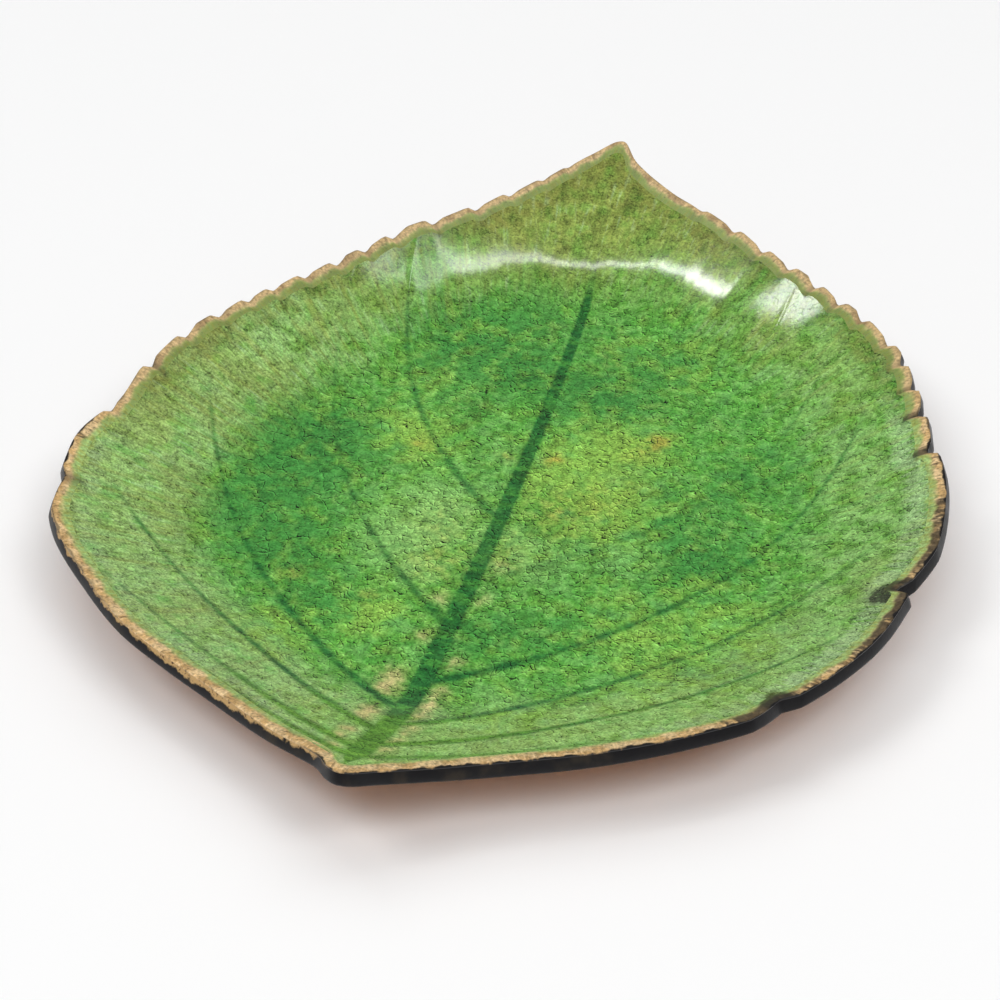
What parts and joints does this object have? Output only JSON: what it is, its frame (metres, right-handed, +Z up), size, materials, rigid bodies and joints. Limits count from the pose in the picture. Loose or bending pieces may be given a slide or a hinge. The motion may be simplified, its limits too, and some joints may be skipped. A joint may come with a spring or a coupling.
{
  "type": "leaf shaped plate",
  "caption": "Shallow leaf shaped plate of pressed clay with a toothed edge, veins filled with dark glaze, a green crackle glazed inside and a flat base to stand on.",
  "frame": {"origin": "middle of the flat base, on the surface that the plate stands on", "axes": "+Y along the midrib from the stem to the tip, +Z up, +X to the right seen from above"},
  "size_m": [0.1734, 0.2133, 0.0239],
  "materials": {
    "bare_clay": "matte, unglazed fired clay",
    "black_edge": "satin black slip and glaze",
    "tan_band": "glossy, thin tan glaze with dark mottling",
    "green_glaze": "glossy crackle glaze with yellow and emerald pools",
    "vein_glaze": "glossy, dark green where the glaze pools in the grooves"
  },
  "bodies": {
    "root": {"clay_body": "bare_clay", "edge_coat": "black_edge", "rim_band": "tan_band", "green_glaze": "green_glaze", "midrib_fill": "vein_glaze", "left_vein_1": "vein_glaze", "left_vein_2": "vein_glaze", "left_vein_3": "vein_glaze", "left_vein_4": "vein_glaze", "left_vein_5": "vein_glaze", "left_vein_6": "vein_glaze", "right_vein_1": "vein_glaze", "right_vein_2": "vein_glaze", "right_vein_3": "vein_glaze", "right_vein_4": "vein_glaze", "right_vein_5": "vein_glaze", "right_vein_6": "vein_glaze"}
  },
  "joints": []
}
